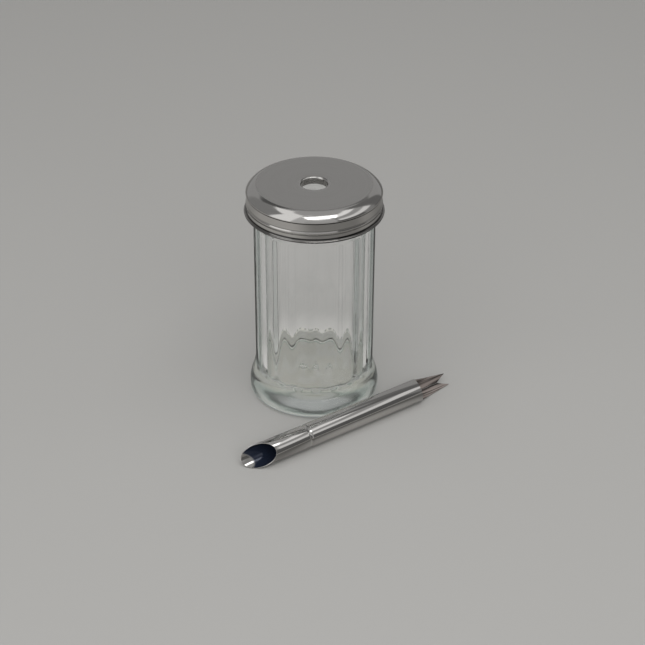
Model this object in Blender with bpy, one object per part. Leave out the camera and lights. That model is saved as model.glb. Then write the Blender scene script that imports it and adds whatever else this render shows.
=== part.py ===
# Sugar pourer: a fluted glass jar, its screw lid with a pour hole and a liner ring, and the
# dosing tube that passes through the hole. The tube is drawn out and lies in front of the jar.
# Metres, +Z up. The origin is the centre of the jar's underside. The tube lies along X.
import math

import bmesh
import bpy

# Jar body
jar_body_radius = 0.0344
jar_wall = 0.0039
jar_foot_flare = 0.0032
jar_foot_edge_radius = 0.0032
jar_foot_shoulder_height = 0.0050
jar_waist_height = 0.0200
jar_floor_height = 0.0135
jar_floor_crown = 0.0008
jar_floor_corner_radius = 0.0060
jar_lip_height = 0.1310
jar_lip_radius = 0.0010

# Flutes pressed into the outside of the body
flute_count = 20
flute_depth = 0.0008
flute_foot_overlap = 0.0030
flute_neck_gap = 0.0027
flute_end_arch = 0.0012
flute_end_fade = 0.0020
flute_phase = math.radians(11.7)

# Neck and its interrupted thread
neck_step = 0.0004
neck_run_in = 0.0006
neck_blend_height = 0.0012
thread_starts = 4
thread_lead = 0.0140
thread_crest_height = 0.0012
thread_crest_width = 0.0010
thread_flank = 0.0003
thread_span_share = 0.85
thread_run_out = 0.0005

# Lid
lid_sheet = 0.0006
lid_thread_clearance = 0.0012
lid_shoulder_overhang = 0.0003
lid_shoulder_width = 0.0058
lid_shoulder_drop = 0.0048
lid_shoulder_fullness = 1.4
lid_shoulder_band = 0.0003
lid_crease_depth = 0.0006
lid_crease_half_width = 0.0004
lid_bead_rise = 0.0054
lid_bead_half_width = 0.0011
lid_bead_height = 0.0004
lid_height = 0.0166
lid_curl_overhang = 0.0015
lid_curl_roll = 0.0006
lid_collar_depth = 0.0042
lid_collar_entry_radius = 0.0008

# Lugs pressed inwards from the curl, one under each thread
lug_height = 0.0010
lug_neck_clearance = 0.0004
lug_thread_clearance = 0.00075
lug_place_share = 0.5
lug_flat_half_angle = math.radians(7.5)

# Liner ring between the jar's lip and the lid
liner_thickness = 0.0008
liner_overhang = 0.0002
liner_clearance = 0.0003
liner_edge_width = 0.0010
liner_edge_height = 0.0004

# Dosing tube
tube_radius = 0.0068
tube_wall = 0.0005
tube_bore_clearance = 0.0006
tube_jar_clearance = 0.0046
tube_mouth_place = -0.0721
tube_mouth_angle = math.radians(40.6)
tube_mouth_roll = math.radians(33.0)
tube_groove_place = -0.0404
tube_groove_half_width = 0.0016
tube_groove_depth = 0.00035
tube_rim_place = 0.0391
tube_rim_dip = 0.0016
tube_prong_length = 0.0251
tube_notch_depth = 0.0068
tube_prong_half_angle = math.radians(32.5)
tube_end_roll = math.radians(46.0)

# Facets
jar_facets_per_flute = 4
lid_facets = 72
liner_facets = 48
tube_near_facets = 24
tube_edge_facets = 8
tube_notch_facets = 5
arc_facets = 4

# Sizes that follow from the ones above
jar_bore_radius = jar_body_radius - jar_wall
jar_foot_radius = jar_body_radius + jar_foot_flare
neck_radius = jar_body_radius + neck_step
lid_skirt_radius = neck_radius + thread_crest_height + lid_thread_clearance + lid_sheet
lid_shoulder_radius = lid_skirt_radius + lid_shoulder_overhang
lid_flat_radius = lid_shoulder_radius - lid_shoulder_width
lid_curl_radius = lid_skirt_radius + lid_curl_overhang
lid_seat_height = jar_lip_height + liner_clearance + liner_thickness + liner_clearance
lid_top_height = lid_seat_height + lid_sheet
lid_bore_radius = tube_radius + tube_bore_clearance
lid_curl_height = lid_top_height - lid_height + lid_curl_roll
lid_bead_place = lid_top_height - lid_height + lid_bead_rise
lug_radius = neck_radius + lug_neck_clearance
lug_top_height = lid_curl_height + lug_height - lid_curl_roll / 3
thread_pitch = thread_lead / thread_starts
thread_low_height = lug_top_height + lug_thread_clearance - thread_pitch * lug_place_share
neck_height = thread_low_height - thread_flank - neck_run_in
flute_low_height = jar_waist_height - flute_foot_overlap
flute_high_height = neck_height - flute_neck_gap
tube_axis_y = -(jar_foot_radius + tube_jar_clearance + tube_radius)


def steps(first, last, count):
    """Evenly spaced values from first to last, both included."""
    return [first + (last - first) * k / count for k in range(count + 1)]


def arc(centre_r, centre_z, radius_r, radius_z, start, end, count):
    """Points of an elliptical arc in the profile plane, angles in degrees from +r."""
    return [(centre_r + radius_r * math.cos(math.radians(a)),
             centre_z + radius_z * math.sin(math.radians(a)))
            for a in steps(start, end, count)]


def swell(centre_r, centre_z, radius_r, radius_z, fullness, count):
    """A quarter turn like arc, from straight up to +r. Below a fullness of 2 it is flatter
    than an ellipse."""
    power = 2 / fullness
    return [(centre_r + radius_r * math.sin(a) ** power,
             centre_z + radius_z * math.cos(a) ** power)
            for a in steps(0, math.pi / 2, count)[:-1]] + [(centre_r + radius_r, centre_z)]


def ease(share):
    """Smooth step from 0 to 1."""
    share = min(max(share, 0.0), 1.0)
    return share * share * (3.0 - 2.0 * share)


def mesh_from_rings(name, rings, closed_loop):
    """A closed body from rings of points. The first and last rings are joined to each other
    where closed_loop is true, and otherwise each is capped."""
    bm = bmesh.new()
    made = [[bm.verts.new(point) for point in ring] for ring in rings]
    pairs = list(zip(made, made[1:]))
    if closed_loop:
        pairs.append((made[-1], made[0]))
    for lower, upper in pairs:
        for k, vert in enumerate(lower):
            after = (k + 1) % len(lower)
            bm.faces.new((vert, lower[after], upper[after], upper[k]))
    if not closed_loop:
        bm.faces.new(made[0])
        bm.faces.new(made[-1])
    bmesh.ops.recalc_face_normals(bm, faces=bm.faces)
    mesh = bpy.data.meshes.new(name)
    bm.to_mesh(mesh)
    bm.free()
    mesh.shade_smooth()
    mesh.set_sharp_from_angle(angle=math.radians(24))
    part = bpy.data.objects.new(name, mesh)
    bpy.context.scene.collection.objects.link(part)
    return part


def turned_ring(radius, height, angles):
    return [(radius * math.cos(a), radius * math.sin(a), height) for a in angles]


def finish(part, colour, roughness, metallic, transmission=0.0):
    """Gives the part a material of its own."""
    material = bpy.data.materials.new(part.name)
    material.use_nodes = True
    shader = material.node_tree.nodes["Principled BSDF"]
    shader.inputs["Base Color"].default_value = colour + (1.0,)
    shader.inputs["Roughness"].default_value = roughness
    shader.inputs["Metallic"].default_value = metallic
    shader.inputs["Transmission Weight"].default_value = transmission
    part.data.materials.append(material)


def flute_cut(angle, height):
    """Depth of the flute at this place on the body. The flutes end in arches."""
    turn = (angle - flute_phase) * flute_count / (2 * math.pi)
    side = 2 * abs(turn - math.floor(turn) - 0.5)
    arch = flute_end_arch * side * side
    low = ease((height - flute_low_height - arch) / flute_end_fade)
    high = ease((flute_high_height - arch - height) / flute_end_fade)
    return flute_depth * (1 + math.cos(math.pi * side)) / 2 * low * high


def thread_place(angle):
    """How far along its thread segment this angle lies, as a share of the pitch angle. The
    segments start where the lid's lugs stand at zero, less the share that a lug has gone in."""
    turn = angle * thread_starts / (2 * math.pi) + lug_place_share
    return turn - math.floor(turn)


def thread_rise(angle):
    """Height gained along a thread segment. It falls back in the gap before the next one."""
    place = thread_place(angle)
    if place <= thread_span_share:
        return thread_pitch * place
    return thread_pitch * thread_span_share * (1 - place) / (1 - thread_span_share)


def thread_crest(angle):
    """The thread stands out along its segment, and not at its two ends."""
    inside = 0.001 < thread_place(angle) < thread_span_share - 0.001
    return thread_crest_height if inside else 0.0


def build_jar():
    facets = flute_count * jar_facets_per_flute
    angles = [flute_phase + 2 * math.pi * k / facets for k in range(facets)]
    edge = jar_foot_edge_radius
    outside = arc(jar_foot_radius - edge, edge, edge, edge, -90, 0, arc_facets)
    for share in steps(0, 1, 6):
        height = jar_foot_shoulder_height + (jar_waist_height - jar_foot_shoulder_height) * share
        flare = (jar_foot_radius - jar_body_radius) * (1 + math.cos(math.pi * share)) / 2
        outside.append((jar_body_radius + flare, height))
    outside.append((jar_body_radius, flute_low_height + flute_end_arch + flute_end_fade))
    ends_start = flute_high_height - flute_end_arch - flute_end_fade
    outside += [(jar_body_radius, height) for height in steps(ends_start, flute_high_height, 4)]
    outside.append((jar_body_radius, neck_height - neck_blend_height))
    outside.append((neck_radius, neck_height))
    rings = [[((radius - flute_cut(a, height)) * math.cos(a),
               (radius - flute_cut(a, height)) * math.sin(a), height) for a in angles]
             for radius, height in outside]

    half_tread = thread_low_height - thread_flank
    for offset, crest in ((0, 0), (thread_flank, 1),
                          (thread_flank + thread_crest_width, 1),
                          (2 * thread_flank + thread_crest_width, 0)):
        ring = []
        for a in angles:
            radius = neck_radius + crest * thread_crest(a)
            height = half_tread + offset + thread_rise(a)
            ring.append((radius * math.cos(a), radius * math.sin(a), height))
        rings.append(ring)
    thread_top = half_tread + 2 * thread_flank + thread_crest_width + thread_pitch
    rings.append(turned_ring(neck_radius, thread_top + thread_run_out, angles))

    lip = jar_lip_radius
    lip_z = jar_lip_height - lip
    inside = arc(neck_radius - lip, lip_z, lip, lip, 0, 90, 2)
    inside += arc(jar_bore_radius + lip, lip_z, lip, lip, 90, 180, 2)
    corner = jar_floor_corner_radius
    inside += arc(jar_bore_radius - corner, jar_floor_height + corner, corner, corner,
                  0, -90, arc_facets)
    inside.append(((jar_bore_radius - corner) / 3, jar_floor_height + jar_floor_crown))
    rings += [turned_ring(radius, height, angles) for radius, height in inside]
    jar = mesh_from_rings("glass_jar", rings, closed_loop=False)
    finish(jar, (0.80, 0.86, 0.83), 0.03, 0.0, 1.0)


def lid_line(inset):
    """The lid's profile from the foot of the collar to the foot of the skirt, moved into the
    sheet by inset."""
    top = lid_top_height
    entry = lid_collar_entry_radius
    drop = lid_shoulder_drop
    width = lid_shoulder_radius - lid_flat_radius
    band = top - drop - lid_shoulder_band
    skirt = lid_skirt_radius - inset
    line = [(lid_bore_radius + inset, top - lid_collar_depth)]
    line += arc(lid_bore_radius + entry, top - entry, entry - inset, entry - inset, 180, 90, 3)
    line += swell(lid_flat_radius, top - drop, width - inset, drop - inset,
                  lid_shoulder_fullness, 5)
    line.append((lid_shoulder_radius - inset, band))
    line.append((lid_shoulder_radius - lid_crease_depth - inset, band - lid_crease_half_width))
    line.append((skirt, band - 2 * lid_crease_half_width))
    for share in (1, 0, -1):
        rise = lid_bead_height * (1 + math.cos(math.pi * share)) / 2
        line.append((skirt + rise, lid_bead_place + share * lid_bead_half_width))
    line.append((skirt, lug_top_height + lid_sheet))
    return line


def lug_inset(angle):
    """1 on a lug and 0 between the lugs."""
    pitch = 2 * math.pi / thread_starts
    away = abs((angle + pitch / 2) % pitch - pitch / 2)
    return 1 if away < lug_flat_half_angle else 0


def build_lid():
    angles = [2 * math.pi * k / lid_facets for k in range(lid_facets)]
    roll = lid_curl_roll
    curl = arc(lid_curl_radius - roll, lid_curl_height, roll, roll, 120, -135, 5)
    rings = [turned_ring(radius, height, angles) for radius, height in lid_line(0) + curl]
    skirt = lid_skirt_radius - lid_sheet
    for height in (lug_top_height - lug_height, lug_top_height):
        ring = []
        for a in angles:
            radius = skirt - (skirt - lug_radius) * lug_inset(a)
            ring.append((radius * math.cos(a), radius * math.sin(a), height))
        rings.append(ring)
    inside = reversed(lid_line(lid_sheet))
    rings += [turned_ring(radius, height, angles) for radius, height in inside]
    lid = mesh_from_rings("screw_lid", rings, closed_loop=True)
    finish(lid, (0.48, 0.46, 0.44), 0.28, 1.0)


def build_liner():
    angles = [2 * math.pi * k / liner_facets for k in range(liner_facets)]
    inner = jar_bore_radius + liner_overhang
    outer = lid_flat_radius + liner_edge_width - liner_clearance
    low = jar_lip_height + liner_clearance
    high = low + liner_thickness
    profile = ((inner, low), (outer, low), (outer, low + liner_edge_height),
               (outer - liner_edge_width, high), (inner, high))
    rings = [turned_ring(radius, height, angles) for radius, height in profile]
    liner = mesh_from_rings("lid_liner", rings, closed_loop=True)
    finish(liner, (0.86, 0.86, 0.84), 0.55, 0.0)


def tube_angles():
    """Angles round the tube, measured from -Y towards +Z. They start at one edge of the near
    half, which ends in one slanting rim, and are closer where the far half has two prongs."""
    quarter = math.pi / 2
    prong = tube_prong_half_angle
    offsets = steps(-quarter, quarter, tube_near_facets)[:-1]
    offsets += steps(quarter, math.pi - prong, tube_edge_facets)[:-1]
    offsets += steps(math.pi - prong, math.pi, tube_notch_facets)[:-1]
    offsets += steps(math.pi, math.pi + prong, tube_notch_facets)[:-1]
    offsets += steps(math.pi + prong, 3 * quarter, tube_edge_facets)[:-1]
    return [tube_end_roll + offset for offset in offsets]


def tube_tail(angle):
    """How far the tube runs past the two ends of its rim at this angle. The near half stops
    short of them. Seen square to the cut, the sides of the far half draw in straight to the
    two tips, with a notch between them."""
    far = math.cos(angle - tube_end_roll - math.pi)
    if far < 1e-6:
        return far * tube_rim_dip
    across = abs(math.sin(angle - tube_end_roll - math.pi))
    tip = math.sin(tube_prong_half_angle)
    if across > tip:
        return tube_prong_length * (1 - across) / (1 - tip)
    return tube_prong_length - tube_notch_depth * (1 - across / tip)


def tube_ring(radius, place, angles):
    """Points round the tube. place gives X for an angle."""
    return [(place(a), tube_axis_y - radius * math.cos(a), tube_radius + radius * math.sin(a))
            for a in angles]


def tube_skin(radius, angles):
    """Rings of one face of the tube's wall, from the slanting mouth to the prongs."""
    slant = radius / math.tan(tube_mouth_angle)
    rings = [tube_ring(radius, lambda a: tube_mouth_place + slant * math.cos(a - tube_mouth_roll),
                       angles)]
    for share in steps(-1, 1, 4):
        sink = tube_groove_depth * (1 + math.cos(math.pi * share)) / 2
        place = tube_groove_place + share * tube_groove_half_width
        rings.append(tube_ring(radius - sink, lambda a, x=place: x, angles))
    rim_start = tube_rim_place - tube_rim_dip - tube_wall
    rings.append(tube_ring(radius, lambda a: rim_start, angles))
    rings.append(tube_ring(radius, lambda a: tube_rim_place + tube_tail(a), angles))
    return rings


def build_tube():
    angles = tube_angles()
    outside = tube_skin(tube_radius, angles)
    inside = tube_skin(tube_radius - tube_wall, angles)
    tube = mesh_from_rings("pour_tube", outside + inside[::-1], closed_loop=True)
    finish(tube, (0.60, 0.58, 0.56), 0.15, 1.0)


for old in list(bpy.data.objects):
    bpy.data.objects.remove(old)
build_jar()
build_lid()
build_liner()
build_tube()
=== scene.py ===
import math

import bmesh
import bpy
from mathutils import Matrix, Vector


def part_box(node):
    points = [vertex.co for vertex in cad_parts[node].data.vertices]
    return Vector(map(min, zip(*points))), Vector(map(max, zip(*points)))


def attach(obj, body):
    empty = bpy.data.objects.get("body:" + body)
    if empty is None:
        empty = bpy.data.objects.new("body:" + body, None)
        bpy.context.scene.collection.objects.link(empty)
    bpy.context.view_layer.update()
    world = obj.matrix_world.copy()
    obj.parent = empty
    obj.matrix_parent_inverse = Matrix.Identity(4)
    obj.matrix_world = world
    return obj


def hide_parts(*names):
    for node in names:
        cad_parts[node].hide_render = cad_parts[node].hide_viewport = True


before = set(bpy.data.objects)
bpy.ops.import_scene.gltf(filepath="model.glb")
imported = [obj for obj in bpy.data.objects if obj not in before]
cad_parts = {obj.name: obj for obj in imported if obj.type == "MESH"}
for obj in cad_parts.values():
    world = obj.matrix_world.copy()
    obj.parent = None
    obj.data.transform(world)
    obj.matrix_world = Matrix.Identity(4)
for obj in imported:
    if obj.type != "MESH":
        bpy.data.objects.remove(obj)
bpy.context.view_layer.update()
print("stage: frame loaded")

# camera, where the photograph's was
view = {
    "place": (-0.4797, -0.6750, 0.5603),
    "down": 32.03,
    "roll": -0.22,
    "turn": -35.60,
    "lens": 93.93,
    "sensor": 36.0,
}
bpy.ops.object.camera_add(
    location=view["place"],
    rotation=(math.radians(90 - view["down"]), math.radians(view["roll"]),
              math.radians(view["turn"])),
)
camera = bpy.context.object
camera.data.lens = view["lens"]
camera.data.sensor_width = view["sensor"]
bpy.context.scene.camera = camera
bpy.context.scene.view_settings.view_transform = "Standard"


# modelling helpers

# heights and radii closer than this are the same
near = 0.00001


def leaveEdit():
    if bpy.context.object and bpy.context.object.mode != "OBJECT":
        bpy.ops.object.mode_set(mode="OBJECT")


def clearSelection():
    leaveEdit()
    bpy.ops.object.select_all(action="DESELECT")


def workOn(piece):
    clearSelection()
    piece.select_set(True)
    bpy.context.view_layer.objects.active = piece


def startEdit(piece):
    workOn(piece)
    bpy.ops.object.mode_set(mode="EDIT")
    bpy.ops.mesh.select_mode(type="VERT")


# Selects the vertices whose place passes the rule. The piece is in edit mode.
def pickVerts(piece, rule):
    mesh = bmesh.from_edit_mesh(piece.data)
    for vert in mesh.verts:
        vert.select = rule(vert.co)
    mesh.select_flush_mode()
    bmesh.update_edit_mesh(piece.data)


# Selects the vertices with these numbers. The piece is in edit mode.
def pickNumbers(piece, numbers):
    mesh = bmesh.from_edit_mesh(piece.data)
    for number, vert in enumerate(mesh.verts):
        vert.select = number in numbers
    mesh.select_flush_mode()
    bmesh.update_edit_mesh(piece.data)


# Selects the faces whose middle passes the rule. The piece is in edit mode.
def pickFaces(piece, rule):
    bpy.ops.mesh.select_mode(type="FACE")
    mesh = bmesh.from_edit_mesh(piece.data)
    for face in mesh.faces:
        face.select_set(rule(face.calc_center_median()))
    mesh.select_flush_mode()
    bmesh.update_edit_mesh(piece.data)


# Points (r, z) of an arc, with its angles in degrees from +r.
def arcPoints(centre, radii, first, last, count):
    points = []
    for k in range(count + 1):
        a = math.radians(first + (last - first) * k / count)
        points.append((centre[0] + radii[0] * math.cos(a), centre[1] + radii[1] * math.sin(a)))
    return points


# Draws a profile of (r, z) points and spins it round Z.
def spinProfile(name, points, turns, closed=False):
    clearSelection()
    bpy.ops.mesh.primitive_plane_add(size=0.001)
    piece = bpy.context.object
    piece.name = name
    piece.data.name = name
    startEdit(piece)
    bpy.ops.mesh.select_all(action="SELECT")
    bpy.ops.mesh.merge(type="CENTER")
    bpy.ops.transform.translate(value=(points[0][0], 0, points[0][1]))
    route = points + points[:1] if closed else points
    for before, after in zip(route, route[1:]):
        bpy.ops.mesh.extrude_region_move(
            TRANSFORM_OT_translate={"value": (after[0] - before[0], 0, after[1] - before[1])}
        )
    bpy.ops.mesh.select_all(action="SELECT")
    bpy.ops.mesh.spin(steps=turns, angle=2 * math.pi, center=(0, 0, 0), axis=(0, 0, 1))
    bpy.ops.mesh.select_all(action="SELECT")
    bpy.ops.mesh.remove_doubles(threshold=0.000004)
    bpy.ops.mesh.select_all(action="SELECT")
    bpy.ops.mesh.normals_make_consistent(inside=False)
    return piece


# Draws the selected vertices towards the Z axis.
def shrinkRound(factor):
    bpy.ops.transform.resize(value=(factor, factor, 1), center_override=(0, 0, 0))


def applyPlace(piece):
    workOn(piece)
    bpy.ops.object.transform_apply(location=True, rotation=True, scale=True)


# Rounds the edges sharper than the angle, in degrees.
def addBevel(piece, width, segments, angle=30):
    bevel = piece.modifiers.new("edges", "BEVEL")
    bevel.width = width
    bevel.segments = segments
    bevel.limit_method = "ANGLE"
    bevel.angle_limit = math.radians(angle)


def applyModifiers(piece):
    workOn(piece)
    for name in [modifier.name for modifier in piece.modifiers]:
        bpy.ops.object.modifier_apply(modifier=name)


def smoothShade(piece, angle):
    workOn(piece)
    bpy.ops.object.shade_smooth_by_angle(angle=math.radians(angle))


def smoothStep(value):
    value = min(max(value, 0.0), 1.0)
    return value * value * (3 - 2 * value)


# material helpers

def newMaterial(name):
    material = bpy.data.materials.new(name)
    material.use_nodes = True
    nodes, links = material.node_tree.nodes, material.node_tree.links
    place = nodes.new("ShaderNodeTexCoord").outputs["Object"]
    return material, nodes, links, nodes["Principled BSDF"], place


# A node group. inputs are name, socket type and value; outputs are name and type.
def newGroup(name, inputs, outputs):
    group = bpy.data.node_groups.new(name, "ShaderNodeTree")
    for label, kind, value in inputs:
        socket = group.interface.new_socket(label, in_out="INPUT", socket_type=kind)
        if value is not None:
            socket.default_value = value
    for label, kind in outputs:
        group.interface.new_socket(label, in_out="OUTPUT", socket_type=kind)
    nodes = group.nodes
    return group, nodes, group.links, nodes.new("NodeGroupInput"), nodes.new("NodeGroupOutput")


# Sets a socket to a number, colour or vector, or links an output to it.
def feed(links, socket, value):
    if isinstance(value, tuple):
        socket.default_value = value + (1,) * (len(socket.default_value) - len(value))
    elif isinstance(value, (int, float)):
        socket.default_value = value
    else:
        links.new(value, socket)


def mathNode(nodes, links, operation, *values):
    node = nodes.new("ShaderNodeMath")
    node.operation = operation
    for socket, value in zip(node.inputs, values):
        feed(links, socket, value)
    return node.outputs[0]


def productNode(nodes, links, product, *factors):
    for factor in factors:
        product = mathNode(nodes, links, "MULTIPLY", product, factor)
    return product


# The length of two values at right angles.
def lengthNode(nodes, links, first, second):
    return mathNode(nodes, links, "SQRT", mathNode(
        nodes, links, "ADD", mathNode(nodes, links, "MULTIPLY", first, first),
        mathNode(nodes, links, "MULTIPLY", second, second)))


def splitNode(nodes, links, vector):
    node = nodes.new("ShaderNodeSeparateXYZ")
    links.new(vector, node.inputs[0])
    return node.outputs["X"], node.outputs["Y"], node.outputs["Z"]


def scaleNode(nodes, links, vector, factor):
    node = nodes.new("ShaderNodeVectorMath")
    node.operation = "SCALE"
    feed(links, node.inputs[0], vector)
    feed(links, node.inputs["Scale"], factor)
    return node.outputs[0]


def stretchNode(nodes, links, vector, scale):
    node = nodes.new("ShaderNodeMapping")
    node.inputs["Scale"].default_value = scale
    links.new(vector, node.inputs["Vector"])
    return node.outputs[0]


# Mixes two colours, or two numbers where plain is set.
def mixNode(nodes, links, factor, first, second, plain=False):
    node = nodes.new("ShaderNodeMix")
    node.data_type = "FLOAT" if plain else "RGBA"
    start = 2 if plain else 6
    feed(links, node.inputs["Factor"], factor)
    feed(links, node.inputs[start], first)
    feed(links, node.inputs[start + 1], second)
    return node.outputs[0 if plain else 2]


def noiseNode(nodes, links, vector, scale, detail):
    node = nodes.new("ShaderNodeTexNoise")
    node.inputs["Scale"].default_value = scale
    node.inputs["Detail"].default_value = detail
    links.new(vector, node.inputs["Vector"])
    return node.outputs["Fac"]


# Goes from outLow at the value low to outHigh at high, and no further.
def rangeNode(nodes, links, value, low, high, outLow, outHigh, soft=True):
    node = nodes.new("ShaderNodeMapRange")
    node.interpolation_type = "SMOOTHSTEP" if soft else "LINEAR"
    for label, number in (("Value", value), ("From Min", low), ("From Max", high),
                          ("To Min", outLow), ("To Max", outHigh)):
        feed(links, node.inputs[label], number)
    return node.outputs["Result"]


# Goes from one value to another as the share goes from 0 to 1.
def blendNode(nodes, links, share, first, second):
    return rangeNode(nodes, links, share, 0.0, 1.0, first, second, soft=False)


# The tone close to the centre, and 1 further away than far.
def bandNode(nodes, links, value, centre, close, far, tone):
    away = mathNode(nodes, links, "ABSOLUTE", mathNode(nodes, links, "SUBTRACT", value, centre))
    return rangeNode(nodes, links, away, close, far, tone, 1.0)


def addBump(nodes, links, height, strength, distance):
    bump = nodes.new("ShaderNodeBump")
    bump.inputs["Strength"].default_value = strength
    bump.inputs["Distance"].default_value = distance
    links.new(height, bump.inputs["Height"])
    links.new(bump.outputs["Normal"], nodes["Principled BSDF"].inputs["Normal"])


# faint smears and small nicks from handling, and the patches among polishing lines
wear = {
    "smearDetail": 5.0,
    "smearBend": 0.6,
    "smearRange": (0.45, 0.72),
    "nickScale": 900.0,
    "patchScale": 0.13,
}


def handledGroup():
    group, nodes, links, source, sink = newGroup(
        "handledSurface",
        [("Vector", "NodeSocketVector", None), ("Size", "NodeSocketFloat", 60.0),
         ("Plain", "NodeSocketFloat", 0.05), ("Smeared", "NodeSocketFloat", 0.12)],
        [("Roughness", "NodeSocketFloat"), ("Height", "NodeSocketFloat")],
    )
    smear = nodes.new("ShaderNodeTexNoise")
    smear.inputs["Detail"].default_value = wear["smearDetail"]
    smear.inputs["Distortion"].default_value = wear["smearBend"]
    links.new(source.outputs["Vector"], smear.inputs["Vector"])
    links.new(source.outputs["Size"], smear.inputs["Scale"])
    soft = rangeNode(nodes, links, smear.outputs["Fac"], *wear["smearRange"],
                     source.outputs["Plain"], source.outputs["Smeared"])
    links.new(soft, sink.inputs["Roughness"])
    fine = noiseNode(nodes, links, source.outputs["Vector"], wear["nickScale"], 3.0)
    links.new(fine, sink.inputs["Height"])
    return group


# Fine lines left by polishing, long where the vector has been pressed together.
def grainGroup():
    group, nodes, links, source, sink = newGroup(
        "polishingLines",
        [("Vector", "NodeSocketVector", None), ("Fineness", "NodeSocketFloat", 1.0)],
        [("Lines", "NodeSocketFloat"), ("Patches", "NodeSocketFloat")],
    )
    scaled = scaleNode(nodes, links, source.outputs["Vector"], source.outputs["Fineness"])
    lines = noiseNode(nodes, links, scaled, 1.0, 4.0)
    patches = noiseNode(nodes, links, scaled, wear["patchScale"], 2.0)
    links.new(lines, sink.inputs["Lines"])
    links.new(patches, sink.inputs["Patches"])
    return group


handled = handledGroup()
grain = grainGroup()


def groupNode(nodes, links, group, vector, **values):
    node = nodes.new("ShaderNodeGroup")
    node.node_tree = group
    links.new(vector, node.inputs["Vector"])
    for label, value in values.items():
        node.inputs[label].default_value = value
    return node.outputs


# glass jar

jar = {
    "bodyRadius": 0.0344,
    "boreRadius": 0.0305,
    "footRadius": 0.0376,
    "footEdge": 0.0032,
    "footShoulder": 0.0050,
    "waist": 0.0200,
    "floor": 0.0135,
    "floorCrown": 0.0008,
    "floorCorner": 0.0060,
    "lip": 0.1310,
    "lipRound": 0.0010,
    "neckRadius": 0.0348,
    "neckStart": 0.1159,
    "flutes": 20,
    "columnsPerFlute": 16,
    "fluteDepth": 0.0008,
    "leastCut": 0.000002,
    "fluteLow": 0.0170,
    "fluteHigh": 0.1132,
    "fluteArch": 0.0012,
    "fluteFade": 0.0020,
    "flutePhase": 11.7,
    "threadLead": 0.0140,
    "threadStarts": 4,
    "threadLow": 0.1165,
    "threadFlank": 0.0003,
    "threadWidth": 0.0010,
    "threadHeight": 0.0012,
    "threadSpan": 0.85,
    "threadTaper": 0.06,
    "threadHalf": 0.6,
    "markRadius": 0.0090,
    "markDepth": 0.0007,
    # the recess in the underside: shares of its radius and depth
    "markShape": ((0, 1), (0.55, 0.9), (0.85, 0.35), (1, 0)),
    "dimpleRadius": 0.0042,
    "dimpleHeight": 0.00035,
    # rows of vertices under the foot, between the flutes' ends and above the thread
    "underRows": (0.0135, 0.027072),
    "rowGap": 0.0004,
    "bodyRows": (0.0306, 0.066, 0.098),
    "neckRows": (0.1224, 0.1262),
    "ior": 1.51,
    "depthTint": (0.62, 0.82, 0.70),
    "depthDensity": 2.6,
    # grey green where the glass is seen along its skin, and round the foot's lower edge
    "edgeTint": (0.42, 0.53, 0.50),
    "edgeFacing": (0.42, 0.80),
    "rimHeight": (0.0011, 0.0022),
    "rimRadius": (0.0350, 0.0362),
    "filmTint": (0.90, 0.88, 0.79),
    "filmFoot": (0.0120, 0.0130),
    "filmTop": (0.0165, 0.0200),
    "filmScale": 85.0,
    "filmCloud": (0.35, 0.6, 0.4, 1.0),
    "stipple": 0.085,
    "stippleHeight": (0.0009, 0.0013),
    "smears": {"Size": 45.0, "Plain": 0.0, "Smeared": 0.035},
    "waveScale": 120.0,
    "bump": (0.25, 0.0002),
}


def jarProfile():
    edge = jar["footEdge"]
    foot = jar["footRadius"]
    body = jar["bodyRadius"]
    mark = jar["markRadius"]
    points = [(mark * reach, jar["markDepth"] * depth) for reach, depth in jar["markShape"]]
    points += [(reach, 0) for reach in jar["underRows"]]
    points += arcPoints((foot - edge, edge), (edge, edge), -90, 0, 10)
    height = jar["waist"] - jar["footShoulder"]
    for k in range(25):
        share = k / 24
        flare = (foot - body) * (1 + math.cos(math.pi * share)) / 2
        points.append((body + flare, jar["footShoulder"] + height * share))
    low = jar["waist"]
    top = jar["fluteLow"] + jar["fluteArch"] + jar["fluteFade"] + jar["rowGap"]
    points += [(body, low + (top - low) * k / 4) for k in range(1, 5)]
    points += [(body, height) for height in jar["bodyRows"]]
    start = jar["fluteHigh"] - jar["fluteArch"] - jar["fluteFade"] - jar["rowGap"]
    points += [(body, start + (jar["fluteHigh"] - start) * k / 12) for k in range(13)]
    neck = jar["neckRadius"]
    for k in range(1, 7):
        share = k / 6
        points.append((body + (neck - body) * smoothStep(share),
                       jar["fluteHigh"] + (jar["neckStart"] - jar["fluteHigh"]) * share))
    flank = jar["threadFlank"]
    width = jar["threadWidth"]
    for offset in (0, flank * 0.5, flank, flank + width * 0.5, flank + width,
                   flank * 1.5 + width, flank * 2 + width):
        points.append((neck, jar["threadLow"] + offset))
    points += [(neck, height) for height in jar["neckRows"]]
    lip = jar["lipRound"]
    points += arcPoints((neck - lip, jar["lip"] - lip), (lip, lip), 0, 90, 6)
    bore = jar["boreRadius"]
    points += arcPoints((bore + lip, jar["lip"] - lip), (lip, lip), 90, 180, 6)
    corner = jar["floorCorner"]
    low = jar["floor"] + corner
    points += [(bore, low + (jar["lip"] - lip - low) * (5 - k) / 6) for k in range(5)]
    points += arcPoints((bore - corner, low), (corner, corner), 0, -90, 14)
    inner = bore - corner
    dimple = jar["dimpleRadius"]
    for radius in [inner * (1 - k / 8) for k in range(1, 7)] + [dimple * (8 - k) / 8 for k in range(9)]:
        height = jar["floor"] + jar["floorCrown"] * smoothStep(1 - radius / inner)
        if radius < dimple:
            height += jar["dimpleHeight"] * math.sin(2 * math.pi * radius / dimple) ** 2
        points.append((radius, height))
    return points


def threadPlace(angle):
    turn = angle * jar["threadStarts"] / (2 * math.pi) + 0.5
    return turn - math.floor(turn)


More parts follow.
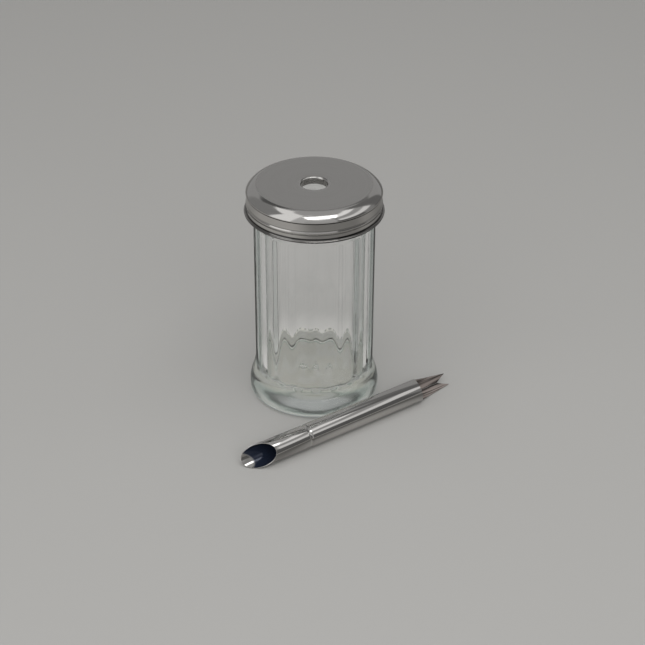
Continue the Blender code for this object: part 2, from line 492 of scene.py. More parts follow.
def threadRise(angle):
    pitch = jar["threadLead"] / jar["threadStarts"]
    place = threadPlace(angle)
    if place <= jar["threadSpan"]:
        return pitch * place
    return pitch * jar["threadSpan"] * (1 - place) / (1 - jar["threadSpan"])


def buildJar():
    columns = jar["flutes"] * jar["columnsPerFlute"]
    piece = spinProfile("glassJar", jarProfile(), columns)
    step = 2 * math.pi / columns
    outside = (jar["bodyRadius"] + jar["boreRadius"]) / 2
    perFlute = jar["columnsPerFlute"]
    arch, fade = jar["fluteArch"], jar["fluteFade"]
    low, high = jar["fluteLow"], jar["fluteHigh"]

    # heights of the rows that the flutes cut, from the mesh itself
    mesh = bmesh.from_edit_mesh(piece.data)
    rows = sorted({round(v.co.z, 6) for v in mesh.verts
                   if low - near <= v.co.z <= high + near and v.co.xy.length > outside})
    for height in rows:
        for side in range(perFlute // 2):
            # 0 is the middle of a flute, and perFlute / 2 would be its ridge
            away = side / (perFlute / 2)
            ends = arch * away * away
            depth = jar["fluteDepth"] * (1 + math.cos(math.pi * away)) / 2
            depth *= smoothStep((height - low - ends) / fade)
            depth *= smoothStep((high - ends - height) / fade)
            if depth < jar["leastCut"]:
                continue

            def inGroup(place, height=height, side=side):
                if abs(place.z - height) > near or place.xy.length < outside:
                    return False
                column = round(math.atan2(place.y, place.x) / step) % perFlute
                return abs(column - perFlute // 2) == side

            pickVerts(piece, inGroup)
            picked = [v.co.xy.length for v in bmesh.from_edit_mesh(piece.data).verts if v.select]
            radius = picked[0]
            shrinkRound((radius - depth) / radius)
    bpy.ops.object.mode_set(mode="OBJECT")
    piece.rotation_euler.z = math.radians(jar["flutePhase"])
    applyPlace(piece)
    print("stage: flutes cut")

    # the interrupted thread: its rows climb with the lead, and its crest stands out
    startEdit(piece)
    neck = jar["neckRadius"]
    base = jar["threadLow"]
    flank, width = jar["threadFlank"], jar["threadWidth"]
    crestLow, crestHigh = base + flank, base + flank + width
    total = 2 * flank + width
    pitchTurn = 2 * math.pi / jar["threadStarts"]
    columnsOnNeck = {}
    mesh = bmesh.from_edit_mesh(piece.data)
    for number, vert in enumerate(mesh.verts):
        onNeck = abs(vert.co.xy.length - neck) < 2 * near
        if onNeck and base - near <= vert.co.z <= base + total + near:
            column = round((math.atan2(vert.co.y, vert.co.x) % pitchTurn) / step, 2)
            columnsOnNeck.setdefault(column, {})[number] = vert.co.z
    for column, heights in columnsOnNeck.items():
        pickNumbers(piece, set(heights))
        bpy.ops.transform.translate(value=(0, 0, threadRise(column * step)))
        place = threadPlace(column * step)
        taper = jar["threadTaper"]
        swell = smoothStep(place / taper) * smoothStep((jar["threadSpan"] - place) / taper)
        swell *= jar["threadHeight"]
        if swell <= 0:
            continue
        crests = {number for number, height in heights.items()
                  if crestLow - near <= height <= crestHigh + near}
        halves = {number for number, height in heights.items()
                  if number not in crests and base + near < height < base + total - near}
        for group, share in ((crests, 1.0), (halves, jar["threadHalf"])):
            pickNumbers(piece, group)
            shrinkRound((neck + swell * share) / neck)
    bpy.ops.object.mode_set(mode="OBJECT")
    smoothShade(piece, 50)
    return piece


def glassFinish():
    material, nodes, links, shader, place = newMaterial("clearPressedGlass")
    shader.inputs["Transmission Weight"].default_value = 1.0
    shader.inputs["IOR"].default_value = jar["ior"]
    across, along, height = splitNode(nodes, links, place)
    radius = lengthNode(nodes, links, across, along)
    facing = nodes.new("ShaderNodeLayerWeight")
    facing.inputs["Blend"].default_value = 0.5
    skin = rangeNode(nodes, links, facing.outputs["Facing"], *jar["edgeFacing"], 0.0, 1.0)
    rim = productNode(nodes, links,
                      rangeNode(nodes, links, height, *jar["rimHeight"], 1.0, 0.0),
                      rangeNode(nodes, links, radius, *jar["rimRadius"], 0.0, 1.0))
    edge = mathNode(nodes, links, "MAXIMUM", rim, skin)
    tint = mixNode(nodes, links, edge, (1, 1, 1), jar["edgeTint"])
    # a faint olive film of old sugar on the inside of the bottom
    cloud = noiseNode(nodes, links, place, jar["filmScale"], 3.0)
    film = productNode(nodes, links,
                       rangeNode(nodes, links, height, *jar["filmTop"], 1.0, 0.0),
                       rangeNode(nodes, links, height, *jar["filmFoot"], 0.0, 1.0),
                       rangeNode(nodes, links, cloud, *jar["filmCloud"]))
    links.new(mixNode(nodes, links, film, tint, jar["filmTint"]), shader.inputs["Base Color"])
    # the underside is stippled, so that nothing shows sharply through the thick bottom
    surface = groupNode(nodes, links, handled, place, **jar["smears"])
    under = rangeNode(nodes, links, height, *jar["stippleHeight"], jar["stipple"], 0.0)
    links.new(mathNode(nodes, links, "MAXIMUM", under, surface["Roughness"]),
              shader.inputs["Roughness"])
    # the slow waves that a mould leaves in the surface
    waves = noiseNode(nodes, links, place, jar["waveScale"], 1.0)
    addBump(nodes, links, waves, *jar["bump"])
    depth = nodes.new("ShaderNodeVolumeAbsorption")
    depth.inputs["Color"].default_value = jar["depthTint"] + (1,)
    depth.inputs["Density"].default_value = jar["depthDensity"]
    links.new(depth.outputs["Volume"], nodes["Material Output"].inputs["Volume"])
    # lamps reach the floor through the glass
    clear = nodes.new("ShaderNodeBsdfTransparent")
    clear.inputs["Color"].default_value = (1, 1, 1, 1)
    lampRays = nodes.new("ShaderNodeMixShader")
    links.new(nodes.new("ShaderNodeLightPath").outputs["Is Shadow Ray"], lampRays.inputs[0])
    links.new(shader.outputs["BSDF"], lampRays.inputs[1])
    links.new(clear.outputs["BSDF"], lampRays.inputs[2])
    links.new(lampRays.outputs["Shader"], nodes["Material Output"].inputs["Surface"])
    return material


glassJar = buildJar()
glassJar.data.materials.append(glassFinish())
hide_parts("glass_jar")
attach(glassJar, "jar")
print("stage: jar modelled,", len(glassJar.data.polygons), "faces")


# screw lid

lid = {
    "sheet": 0.0006,
    "top": 0.1330,
    "flatRadius": 0.0323,
    "shoulderRadius": 0.0381,
    "shoulderDrop": 0.0048,
    "shoulderFullness": 1.4,
    "shoulderBand": 0.0003,
    "creaseDepth": 0.0006,
    "creaseHalf": 0.0004,
    "creaseStart": 0.3,
    "skirtRadius": 0.0378,
    "beadDrop": 0.0112,
    "beadHalf": 0.0011,
    "beadHeight": 0.0004,
    "curlRadius": 0.03925,
    "curlRoll": 0.0006,
    "curlHeight": 0.1170,
    "lugTop": 0.1178,
    "lugHeight": 0.0010,
    "lugRadius": 0.0352,
    "lugs": 4,
    "lugFlat": 6.0,
    "lugEnd": 9.5,
    "boreRadius": 0.0074,
    "collarDepth": 0.0042,
    "entryRadius": 0.0012,
    "turns": 288,
    # rows of vertices: on the top, down the collar and over the lugs
    "topRows": (0.4, 0.6, 0.8, 0.96),
    "collarRow": 0.6,
    "skirtRow": 0.0012,
    # painted shade in the creases and painted dark reflections beside the bead, as lines: height, half
    # width and strength, and the share of each that is darkest
    "lines": ((0.12765, 0.00045, 0.85), (0.1230, 0.0003, 0.45), (0.1206, 0.0003, 0.75),
              (0.11820, 0.00075, 0.92), (0.1168, 0.0011, 0.74)),
    "lineCore": 0.3,
    # the satin top: the radii and heights over which it starts and ends
    "satinOuter": (0.0320, 0.0326),
    "satinInner": (0.0085, 0.0090),
    "satinHeight": (0.1322, 0.1328),
    "satinRough": (0.3, 0.7, 0.30, 0.38),
    # a painted shade ring where the satin ends: how much it darkens, its widths, and the heights over
    # which it fades in
    "satinLine": 0.12,
    "satinLineWidth": (0.0001, 0.0003),
    "satinLineHeight": (0.1315, 0.1325),
    # polishing lines per metre, and how far they are pressed together round the lid
    "fineness": 5200.0,
    "lineRun": 0.0003077,
    "darkSteel": (0.60, 0.585, 0.565),
    "lightSteel": (0.66, 0.645, 0.625),
    "smears": {"Size": 55.0, "Plain": 0.09, "Smeared": 0.14},
    "lineBump": (0.02, 0.10),
    "bump": (1.0, 0.00005),
    # painted shade on the collar's wall: its tone, and the radii and heights where it starts
    "wallShade": 0.35,
    "wallRadius": (0.0076, 0.0079),
    "wallHeight": (0.1314, 0.1321),
}


# The sheet's profile from the collar's foot to the skirt's foot, inset into the sheet.
def lidLine(inset):
    top, entry, drop = lid["top"], lid["entryRadius"], lid["shoulderDrop"]
    width = lid["shoulderRadius"] - lid["flatRadius"]
    band = top - drop - lid["shoulderBand"]
    skirt = lid["skirtRadius"] - inset
    line = [(lid["boreRadius"] + inset, top - lid["collarDepth"]),
            (lid["boreRadius"] + inset, top - lid["collarDepth"] * lid["collarRow"])]
    line += arcPoints((lid["boreRadius"] + entry, top - entry),
                      (entry - inset, entry - inset), 180, 90, 8)
    line += [(lid["flatRadius"] * share, top - inset) for share in lid["topRows"]]
    # the shoulder is flatter than an ellipse
    power = 2 / lid["shoulderFullness"]
    for k in range(25):
        a = math.radians(90 * k / 24)
        line.append((lid["flatRadius"] + (width - inset) * math.sin(a) ** power,
                     top - drop + (drop - inset) * max(math.cos(a), 0) ** power))
    # a rolled crease under it
    half, depth = lid["creaseHalf"], lid["creaseDepth"]
    edge = lid["shoulderRadius"] - inset
    line.append((edge, band + half * lid["creaseStart"]))
    for share in (-1, -0.5, 0, 0.5):
        line.append((edge - depth * (1 + math.cos(math.pi * share)) / 2, band - half * (1 + share)))
    line.append((skirt, band - 2 * half))
    for k in range(9):
        share = 1 - k / 4
        swell = lid["beadHeight"] * (1 + math.cos(math.pi * share)) / 2
        line.append((skirt + swell, top - lid["beadDrop"] + share * lid["beadHalf"]))
    line.append((skirt, lid["lugTop"] + lid["sheet"] + lid["skirtRow"]))
    line.append((skirt, lid["lugTop"] + lid["sheet"]))
    return line


def buildLid():
    roll = lid["curlRoll"]
    middle = (lid["curlRadius"] - roll, lid["curlHeight"])
    curl = arcPoints(middle, (roll, roll), 120, -135, 14)
    skirt = lid["skirtRadius"] - lid["sheet"]
    foot = lid["lugTop"] - lid["lugHeight"]
    inner = [(skirt, foot), (skirt, (foot + lid["lugTop"]) / 2), (skirt, lid["lugTop"])]
    profile = lidLine(0) + curl + inner + lidLine(lid["sheet"])[::-1]
    piece = spinProfile("screwLid", profile, lid["turns"], closed=True)

    # the lugs, pressed inwards: columns are drawn in together, less at a lug's two sides
    step = 360 / lid["turns"]
    pitch = 360 / lid["lugs"]
    for k in range(int(lid["lugEnd"] / step) + 1):
        away = k * step
        share = smoothStep((lid["lugEnd"] - away) / (lid["lugEnd"] - lid["lugFlat"]))
        if share <= 0:
            continue

        def onLug(place, away=away):
            if not foot - near < place.z < lid["lugTop"] + near:
                return False
            if abs(place.xy.length - skirt) > near:
                return False
            turn = math.degrees(math.atan2(place.y, place.x))
            return abs(abs((turn + pitch / 2) % pitch - pitch / 2) - away) < step / 4

        pickVerts(piece, onLug)
        shrinkRound(1 - (1 - lid["lugRadius"] / skirt) * share)
    bpy.ops.object.mode_set(mode="OBJECT")
    applyPlace(piece)
    smoothShade(piece, 40)
    return piece


def lidFinish():
    material, nodes, links, shader, place = newMaterial("lidSteel")
    shader.inputs["Metallic"].default_value = 1.0
    across, along, height = splitNode(nodes, links, place)
    radius = lengthNode(nodes, links, across, along)
    turn = mathNode(nodes, links, "ARCTAN2", along, across)
    # the satin finish covers the flat top and stops short of the hole and the shoulder
    satin = productNode(nodes, links,
                        rangeNode(nodes, links, radius, *lid["satinOuter"], 1.0, 0.0),
                        rangeNode(nodes, links, radius, *lid["satinInner"], 0.0, 1.0),
                        rangeNode(nodes, links, height, *lid["satinHeight"], 0.0, 1.0))
    # turned lines: fine across the radius and height, long round the lid
    run = nodes.new("ShaderNodeCombineXYZ")
    pressed = mathNode(nodes, links, "MULTIPLY", turn, lid["lineRun"])
    for socket, value in zip(run.inputs, (radius, height, pressed)):
        links.new(value, socket)
    turned = groupNode(nodes, links, grain, run.outputs[0], Fineness=lid["fineness"])
    surface = groupNode(nodes, links, handled, place, **lid["smears"])
    satinRough = rangeNode(nodes, links, turned["Patches"], *lid["satinRough"])
    links.new(mixNode(nodes, links, satin, surface["Roughness"], satinRough, plain=True),
              shader.inputs["Roughness"])
    tone = mixNode(nodes, links, turned["Lines"], lid["darkSteel"], lid["lightSteel"])
    # painted shade: a fine dark ring where the satin ends, and dark lines in the creases and beside the
    # bead, standing in for shade and dark reflections
    ring = bandNode(nodes, links, radius, lid["flatRadius"], *lid["satinLineWidth"],
                    1.0 - lid["satinLine"])
    shade = mathNode(nodes, links, "MAXIMUM", ring, rangeNode(
        nodes, links, height, *lid["satinLineHeight"], 1.0, 0.0))
    for level, half, strength in lid["lines"]:
        line = bandNode(nodes, links, height, level, half * lid["lineCore"], half,
                        1.0 - strength)
        shade = mathNode(nodes, links, "MULTIPLY", shade, line)
    # painted shade: the collar's wall is darker below its rounded edge, down in the hole
    wall = rangeNode(nodes, links, radius, *lid["wallRadius"], lid["wallShade"], 1.0)
    below = rangeNode(nodes, links, height, *lid["wallHeight"], 0.0, 1.0)
    shade = mathNode(nodes, links, "MULTIPLY", shade,
                     mathNode(nodes, links, "MAXIMUM", wall, below))
    links.new(scaleNode(nodes, links, tone, shade), shader.inputs["Base Color"])
    strength = rangeNode(nodes, links, satin, 0.0, 1.0, *lid["lineBump"])
    relief = mathNode(nodes, links, "MULTIPLY", turned["Lines"], strength)
    addBump(nodes, links, relief, *lid["bump"])
    return material


screwLid = buildLid()
screwLid.data.materials.append(lidFinish())
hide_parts("screw_lid")
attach(screwLid, "lid")
print("stage: lid modelled,", len(screwLid.data.polygons), "faces")


# liner ring

liner = {
    "round": 0.00012,
    "edgeWidth": 0.0010,
    "edgeHeight": 0.0004,
    "gap": 0.0002,
    "turns": 144,
    "darkPlastic": (0.74, 0.74, 0.71),
    "lightPlastic": (0.82, 0.82, 0.80),
    "mottleScale": 260.0,
    "smears": {"Size": 80.0, "Plain": 0.42, "Smeared": 0.55},
    "bump": (0.3, 0.00005),
}


def buildLiner():
    lowest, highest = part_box("lid_liner")
    outer = highest.x
    inner = jar["boreRadius"] + liner["gap"]
    profile = [(inner, lowest.z), (outer, lowest.z), (outer, lowest.z + liner["edgeHeight"]),
               (outer - liner["edgeWidth"], highest.z), (inner, highest.z)]
    piece = spinProfile("lidLiner", profile, liner["turns"], closed=True)
    bpy.ops.object.mode_set(mode="OBJECT")
    addBevel(piece, liner["round"], 3)
    applyModifiers(piece)
    applyPlace(piece)
    smoothShade(piece, 40)
    return piece


def linerFinish():
    material, nodes, links, shader, place = newMaterial("linerPlastic")
    mottle = noiseNode(nodes, links, place, liner["mottleScale"], 3.0)
    links.new(mixNode(nodes, links, mottle, liner["darkPlastic"], liner["lightPlastic"]),
              shader.inputs["Base Color"])
    surface = groupNode(nodes, links, handled, place, **liner["smears"])
    links.new(surface["Roughness"], shader.inputs["Roughness"])
    addBump(nodes, links, surface["Height"], *liner["bump"])
    return material


lidLiner = buildLiner()
lidLiner.data.materials.append(linerFinish())
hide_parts("lid_liner")
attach(lidLiner, "liner")
print("stage: liner modelled")


# dosing tube

tube = {
    "radius": 0.00679,
    "wall": 0.0005,
    "axisY": -0.0490,
    "mouthPlace": -0.0721,
    "mouthAngle": 40.65,
    "mouthRoll": 33.0,
    "grooveHalf": 0.0016,
    "groovePlace": -0.0404,
    "grooveDepth": 0.00035,
    "rimPlace": 0.0391,
    "rimDip": 0.0016,
    "prongLength": 0.0250,
    "notchDepth": 0.0068,
    "prongHalf": 32.5,
    "endRoll": 46.0,
    "facets": 144,
    "spare": 0.002,
    "edgeRound": 0.00012,
    # polishing lines per metre, and how far they are pressed together along the tube
    "fineness": 4200.0,
    "lineRun": (0.0066667, 1, 1),
    "darkSteel": (0.57, 0.555, 0.535),
    "lightSteel": (0.64, 0.625, 0.605),
    "smears": {"Size": 90.0, "Plain": 0.06, "Smeared": 0.12},
    "bump": (0.10, 0.00005),
    # how far outside the bore's radius its painted shade fades out
    "boreShadeFade": (0.00004, 0.00014),
    "boreMetal": 0.35,
    # the bore's painted shade, bluish black, and on the prongs' inner side streaky brown painted shade
    # and painted reflections
    "boreShadeTint": (0.018, 0.024, 0.043),
    "prongShadeTone": (0.050, 0.044, 0.041),
    "prongReflectionTone": (0.36, 0.31, 0.285),
    "prongRun": (40.0, 700.0, 700.0),
    "prongReflectionStreaks": (0.38, 0.62),
    "blueToBrown": (-0.04, 0.03),
    # the bright tongue, where the painted shade stops and the steel's own reflection shows: the
    # direction of its middle, its slope, and where it ends
    "tongueSide": (0.60, 0.80),
    "tongueSlope": 1.9,
    "tongueEnd": (-0.0864, -0.0842),
}


# The direction out of the tube at this angle, from -Y towards +Z.
def tubeSide(roll):
    a = math.radians(roll)
    return Vector((0, -math.cos(a), math.sin(a)))


# The normal of a plane through two directions, on the side that a third points to.
def planeNormal(first, second, towards):
    normal = first.cross(second).normalized()
    return normal if normal.dot(towards) > 0 else -normal


# Cuts the faces that pass the rule along a plane. drop takes away what lies beyond it.
def cutTube(piece, point, normal, rule=None, drop=True):
    pickFaces(piece, rule or (lambda place: True))
    bpy.ops.mesh.bisect(plane_co=point, plane_no=normal, use_fill=False, clear_outer=drop)


def buildTube():
    clearSelection()
    tip = tube["radius"] / math.tan(math.radians(tube["mouthAngle"]))
    first = tube["mouthPlace"] - tip - tube["spare"]
    last = tube["rimPlace"] + tube["prongLength"] + tube["spare"]
    axis = Vector((0, tube["axisY"], tube["radius"]))
    bpy.ops.mesh.primitive_cylinder_add(
        vertices=tube["facets"], radius=tube["radius"], depth=last - first,
        end_fill_type="NOTHING",
        location=((first + last) / 2, axis.y, axis.z), rotation=(0, math.radians(90), 0),
    )
    piece = bpy.context.object
    piece.name = "pourTube"
    piece.data.name = "pourTube"
    applyPlace(piece)
    startEdit(piece)

    # the groove, rolled inwards
    for k in range(9):
        share = k / 4 - 1
        where = tube["groovePlace"] + share * tube["grooveHalf"]
        cutTube(piece, (where, 0, 0), (1, 0, 0), drop=False)
    bpy.ops.mesh.select_mode(type="VERT")
    for k in range(1, 8):
        share = k / 4 - 1
        where = tube["groovePlace"] + share * tube["grooveHalf"]
        sink = tube["grooveDepth"] * (1 + math.cos(math.pi * share)) / 2
        pickVerts(piece, lambda place, where=where: abs(place.x - where) < 2 * near)
        factor = 1 - sink / tube["radius"]
        bpy.ops.transform.resize(value=(1, factor, factor), center_override=(where, axis.y, axis.z))

    # the spout's slanting mouth
    slant = math.radians(tube["mouthAngle"])
    heel = tubeSide(tube["mouthRoll"])
    normal = Vector((-math.sin(slant), 0, 0)) + heel * math.cos(slant)
    cutTube(piece, axis + Vector((tube["mouthPlace"], 0, 0)), normal)

    # the lower end: the near half stops on a slanting rim, the far half has two prongs
    front = tubeSide(tube["endRoll"])
    across = front.cross(Vector((1, 0, 0)))
    rim = tube["rimPlace"]
    for point, direction in (((rim, 0, 0), (1, 0, 0)), (axis, front), (axis, across)):
        cutTube(piece, point, direction, drop=False)
    pickFaces(piece, lambda place: place.x > rim and (place - axis).dot(front) > 0)
    bpy.ops.mesh.delete(type="FACE")
    cutTube(piece, axis + Vector((rim, 0, 0)),
            Vector((1, 0, 0)) + front * (tube["rimDip"] / tube["radius"]),
            lambda place: (place - axis).dot(front) > 0)
    tipAcross = tube["radius"] * math.sin(math.radians(tube["prongHalf"]))
    tipX = rim + tube["prongLength"]
    notchX = tipX - tube["notchDepth"]
    for side in (1, -1):
        def onSide(place, side=side):
            return place.x > rim and (place - axis).dot(across) * side > 0

        outward = across * side
        edgeRun = Vector((tube["prongLength"], 0, 0)) + outward * (tipAcross - tube["radius"])
        cutTube(piece, axis + Vector((rim, 0, 0)) + outward * tube["radius"],
                planeNormal(edgeRun, front, outward), onSide)
        notchRun = Vector((tipX - notchX, 0, 0)) + outward * tipAcross
        cutTube(piece, axis + Vector((notchX, 0, 0)),
                planeNormal(notchRun, front, -outward), onSide)
    bpy.ops.mesh.select_mode(type="VERT")
    bpy.ops.mesh.select_all(action="SELECT")
    bpy.ops.mesh.remove_doubles(threshold=near)
    bpy.ops.mesh.normals_make_consistent(inside=False)
    mesh = bmesh.from_edit_mesh(piece.data)
    lean = sum((face.calc_center_median() - axis).yz.dot(face.normal.yz) for face in mesh.faces)
    if lean < 0:
        bpy.ops.mesh.flip_normals()
    bpy.ops.object.mode_set(mode="OBJECT")
    wall = piece.modifiers.new("wall", "SOLIDIFY")
    wall.thickness = tube["wall"]
    wall.offset = -1
    addBevel(piece, tube["edgeRound"], 2, 50)
    applyModifiers(piece)
    smoothShade(piece, 35)
    return piece


def tubeFinish():
    material, nodes, links, shader, place = newMaterial("tubeSteel")
    # drawn lines: fine round the tube, long along it
    drawn = groupNode(nodes, links, grain, stretchNode(nodes, links, place, tube["lineRun"]),
                      Fineness=tube["fineness"])
    surface = groupNode(nodes, links, handled, place, **tube["smears"])
    links.new(surface["Roughness"], shader.inputs["Roughness"])
    tone = mixNode(nodes, links, drawn["Patches"], tube["darkSteel"], tube["lightSteel"])
    addBump(nodes, links, drawn["Lines"], *tube["bump"])
    along, across, height = splitNode(nodes, links, place)
    side = mathNode(nodes, links, "SUBTRACT", across, tube["axisY"])
    rise = mathNode(nodes, links, "SUBTRACT", height, tube["radius"])
    edge = tube["radius"] - tube["wall"]
    bore = rangeNode(nodes, links, lengthNode(nodes, links, side, rise),
                     edge + tube["boreShadeFade"][0], edge + tube["boreShadeFade"][1], 1.0, 0.0)
    # painted shade: the bore is painted dark, but stays plain bright steel in a tongue along its floor
    # behind the spout's tip, where its own reflection shows
    lean, drop = tube["tongueSide"]
    floor = mathNode(nodes, links, "SUBTRACT", mathNode(nodes, links, "MULTIPLY", side, lean),
                     mathNode(nodes, links, "MULTIPLY", rise, drop))
    reach = mathNode(nodes, links, "SUBTRACT", along,
                     mathNode(nodes, links, "MULTIPLY", floor, tube["tongueSlope"]))
    deep = rangeNode(nodes, links, reach, *tube["tongueEnd"], 0.0, 1.0)
    dark = mathNode(nodes, links, "MULTIPLY", bore, deep)
    # the painted shade is bluish black at the spout and goes over to streaky brown painted shade and
    # painted reflections at the prongs
    streaks = noiseNode(nodes, links, stretchNode(nodes, links, place, tube["prongRun"]), 1.0, 2.0)
    paintedProngs = mixNode(nodes, links, rangeNode(nodes, links, streaks, *tube["prongReflectionStreaks"], 0.0, 1.0),
                    tube["prongShadeTone"], tube["prongReflectionTone"])
    paintedBore = mixNode(nodes, links, rangeNode(nodes, links, along, *tube["blueToBrown"], 0.0, 1.0),
                   tube["boreShadeTint"], paintedProngs)
    links.new(mixNode(nodes, links, dark, tone, paintedBore), shader.inputs["Base Color"])
    links.new(rangeNode(nodes, links, dark, 0.0, 1.0, 1.0, tube["boreMetal"]),
              shader.inputs["Metallic"])
    return material


pourTube = buildTube()
pourTube.data.materials.append(tubeFinish())
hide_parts("pour_tube")
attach(pourTube, "tube")
print("stage: tube modelled,", len(pourTube.data.polygons), "faces")


# floor, lamps and surroundings

studio = {
    "floorSize": 8.0,
    "floorDrop": 0.0002,
    "floorTone": (0.389, 0.383, 0.370),
    "floorRough": 0.9,
    "floorGloss": 0.1,
    # the floor's shade at two distances in front of the jar
    "shadePlace": (-0.7, 0.3),
    "shade": (1.04, 1.06),
    # painted shade that only reflections see: a patch in front, bounded by turns to the left and right,
    # a ring close in front, and the part behind
    "patchPlace": (0.12, 0.22),
    "patchTone": 0.50,
    "leftEdge": (-38.0, 4.0),
    "rightEdge": (64.0, 92.0, 1.0, 0.5),
    "ringStart": (0.060, 0.090),
    "ringEnd": (0.12, 0.15),
    "ringEdge": (80.0, 100.0),
    "ringTone": 0.35,
    "behindTurn": (90.0, 130.0),
    "behindTone": 0.74,
    # painted light: the floor seen through the glass is paler, most of all near and under the jar
    "throughPlace": (0.050, 0.090),
    "throughTone": (1.60, 1.07),
    "room": 0.26,
    "roomThrough": (0.345, 0.455),
    "wallTone": 0.31,
    "panelSoft": 4.0,
    "aimHeight": 0.05,
}

# lamps: turn, elevation and distance from the camera's side, size, power, and whether
# the steel shows them
lamps = {
    "keyLamp": ((18, 67, 1.5), (0.92, 0.38), 2.2, True),
    "fillLamp": ((0, 84, 1.8), (2.4, 2.4), 9.5, False),
    "frontLamp": ((0, 37, 1.9), (2.4, 1.2), 19.0, False),
}

# what the polished steel sees of the room, each over those before it: turn to the camera's
# right, half width, lowest and highest elevation, and brightness
panels = {
    "ceiling": (0, 200, 63, 100, 0.40),
    "back": (180, 46, -20, 37, 0.33),
    "backDark": (180, 46, 37, 50, 0.17),
    "backHigh": (180, 42, 50, 64, 0.34),
    "frontHigh": (0, 40, 18, 66, 0.44),
    "frontLow": (4, 40, -20, 13, 0.50),
    "keyGlow": (16, 20, 51, 61, 0.95),
    "leftDim": (-100, 30, -20, 54, 0.24),
    "leftShade": (-148, 18, 40, 60, 0.10),
    "leftHigh": (-98, 32, 56, 73, 0.92),
    "leftStrip": (-56, 19, -20, 74, 0.92),
    "leftSoft": (-26, 11, -20, 84, 0.50),
    "rightHigh": (79, 33, 54, 66, 1.00),
    "rightMiddle": (79, 33, 40, 54, 0.36),
    "rightLow": (78, 34, 26, 41, 0.80),
    "rightDark": (64, 26, -20, 24, 0.12),
    "rightBack": (126, 12, -20, 60, 0.15),
}


# A place round the object. turn is in degrees to the camera's right.
def fromCamera(turn, rise, distance):
    a = math.radians(view["turn"] + turn)
    e = math.radians(rise)
    return Vector((math.sin(a) * math.cos(e), -math.cos(a) * math.cos(e), math.sin(e))) * distance


def addLamp(name, place, size, power, seenInGloss):
    aim = Vector((0, 0, studio["aimHeight"])) - place
    bpy.ops.object.light_add(type="AREA", location=place,
                             rotation=aim.to_track_quat("-Z", "Y").to_euler())
    lamp = bpy.context.object
    lamp.name = name
    lamp.data.shape = "RECTANGLE"
    lamp.data.size = size[0]
    lamp.data.size_y = size[1]
    lamp.data.energy = power
    lamp.visible_glossy = seenInGloss
    lamp.visible_transmission = seenInGloss


def alongNode(nodes, links, vector, direction):
    node = nodes.new("ShaderNodeVectorMath")
    node.operation = "DOT_PRODUCT"
    links.new(vector, node.inputs[0])
    node.inputs[1].default_value = direction
    return node.outputs["Value"]


# The angle of a vector round Z, in degrees to the camera's right.
def turnFromCamera(nodes, links, vector):
    right = alongNode(nodes, links, vector, fromCamera(90, 0, 1))
    front = alongNode(nodes, links, vector, fromCamera(0, 0, 1))
    return mathNode(nodes, links, "DEGREES", mathNode(nodes, links, "ARCTAN2", right, front))


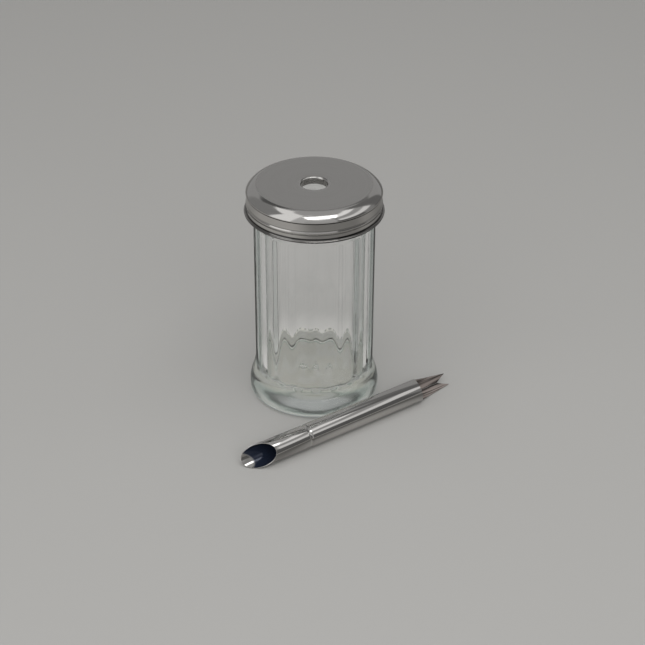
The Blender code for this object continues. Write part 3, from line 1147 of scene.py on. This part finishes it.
def addFloor():
    clearSelection()
    bpy.ops.mesh.primitive_plane_add(size=studio["floorSize"],
                                     location=(0, 0, -studio["floorDrop"]))
    floor = bpy.context.object
    floor.name = "floor"
    material, nodes, links, shader, place = newMaterial("floorPaper")
    shader.inputs["Roughness"].default_value = studio["floorRough"]
    shader.inputs["Specular IOR Level"].default_value = studio["floorGloss"]
    front = alongNode(nodes, links, place, fromCamera(0, 0, 1))
    shade = rangeNode(nodes, links, front, *studio["shadePlace"], *studio["shade"])
    turn = turnFromCamera(nodes, links, place)
    length = nodes.new("ShaderNodeVectorMath")
    length.operation = "LENGTH"
    links.new(place, length.inputs[0])
    away = length.outputs["Value"]
    leftEdge = rangeNode(nodes, links, turn, *studio["leftEdge"], 0.0, 1.0)
    # painted shade that only reflections see: the room in front of the paper is darker, so the floor
    # there is darker to the steel, and the camera doesn't see it
    patch = productNode(nodes, links,
                        rangeNode(nodes, links, away, *studio["patchPlace"], 0.0, 1.0), leftEdge,
                        rangeNode(nodes, links, turn, *studio["rightEdge"]))
    # painted shade: a darker ring close in front, which only the tube is near enough to show in its
    # reflection
    ring = productNode(nodes, links,
                       rangeNode(nodes, links, away, *studio["ringStart"], 0.0, 1.0),
                       rangeNode(nodes, links, away, *studio["ringEnd"], 1.0, 0.0), leftEdge,
                       rangeNode(nodes, links, turn, *studio["ringEdge"], 1.0, 0.0))
    # painted shade that only reflections see: the floor behind is darker
    behind = rangeNode(nodes, links, mathNode(nodes, links, "ABSOLUTE", turn),
                       *studio["behindTurn"], 0.0, 1.0)
    rays = nodes.new("ShaderNodeLightPath").outputs
    seen = mathNode(nodes, links, "MAXIMUM", rays["Is Camera Ray"], rays["Is Transmission Ray"])
    hidden = mathNode(nodes, links, "SUBTRACT", 1.0, seen)
    for part, tone in ((patch, studio["patchTone"]), (ring, studio["ringTone"]),
                       (behind, studio["behindTone"])):
        darker = productNode(nodes, links, part, 1.0 - tone, hidden)
        shade = mathNode(nodes, links, "MULTIPLY", shade,
                         mathNode(nodes, links, "SUBTRACT", 1.0, darker))
    # painted light: the floor is paler through the glass, most of all under the jar, where the lid's
    # shadow falls
    below = rangeNode(nodes, links, away, *studio["throughPlace"], *studio["throughTone"])
    paler = blendNode(nodes, links, rays["Is Transmission Ray"], 1.0, below)
    shade = mathNode(nodes, links, "MULTIPLY", shade, paler)
    links.new(scaleNode(nodes, links, studio["floorTone"], shade), shader.inputs["Base Color"])
    floor.data.materials.append(material)


def addSurroundings():
    world = bpy.data.worlds.new("studioRoom")
    bpy.context.scene.world = world
    world.use_nodes = True
    nodes, links = world.node_tree.nodes, world.node_tree.links
    direction = nodes.new("ShaderNodeTexCoord").outputs["Generated"]
    height = splitNode(nodes, links, direction)[2]
    rise = mathNode(nodes, links, "DEGREES", mathNode(nodes, links, "ARCSINE", height))
    turn = turnFromCamera(nodes, links, direction)
    soft = studio["panelSoft"] / 2
    total = studio["room"]
    for centre, half, low, high, tone in panels.values():
        turned = mathNode(nodes, links, "SUBTRACT", turn, centre)
        away = mathNode(nodes, links, "ABSOLUTE",
                        mathNode(nodes, links, "WRAP", turned, 180.0, -180.0))
        inside = productNode(nodes, links,
                             rangeNode(nodes, links, away, half - soft, half + soft, 1.0, 0.0),
                             rangeNode(nodes, links, rise, low - soft, low + soft, 0.0, 1.0),
                             rangeNode(nodes, links, rise, high - soft, high + soft, 1.0, 0.0))
        total = blendNode(nodes, links, inside, total, tone)
    # glass shows a paler and more even room than the steel does
    rays = nodes.new("ShaderNodeLightPath").outputs
    paler = blendNode(nodes, links, total, *studio["roomThrough"])
    total = blendNode(nodes, links, rays["Is Transmission Ray"], total, paler)
    # the camera sees an even wall past the floor's far edge
    total = blendNode(nodes, links, rays["Is Camera Ray"], total, studio["wallTone"])
    links.new(total, nodes["Background"].inputs["Color"])


addFloor()
addSurroundings()
for name, (place, size, power, seenInGloss) in lamps.items():
    addLamp(name, fromCamera(*place), size, power, seenInGloss)
print("stage: studio set")

clearSelection()
bpy.context.view_layer.update()
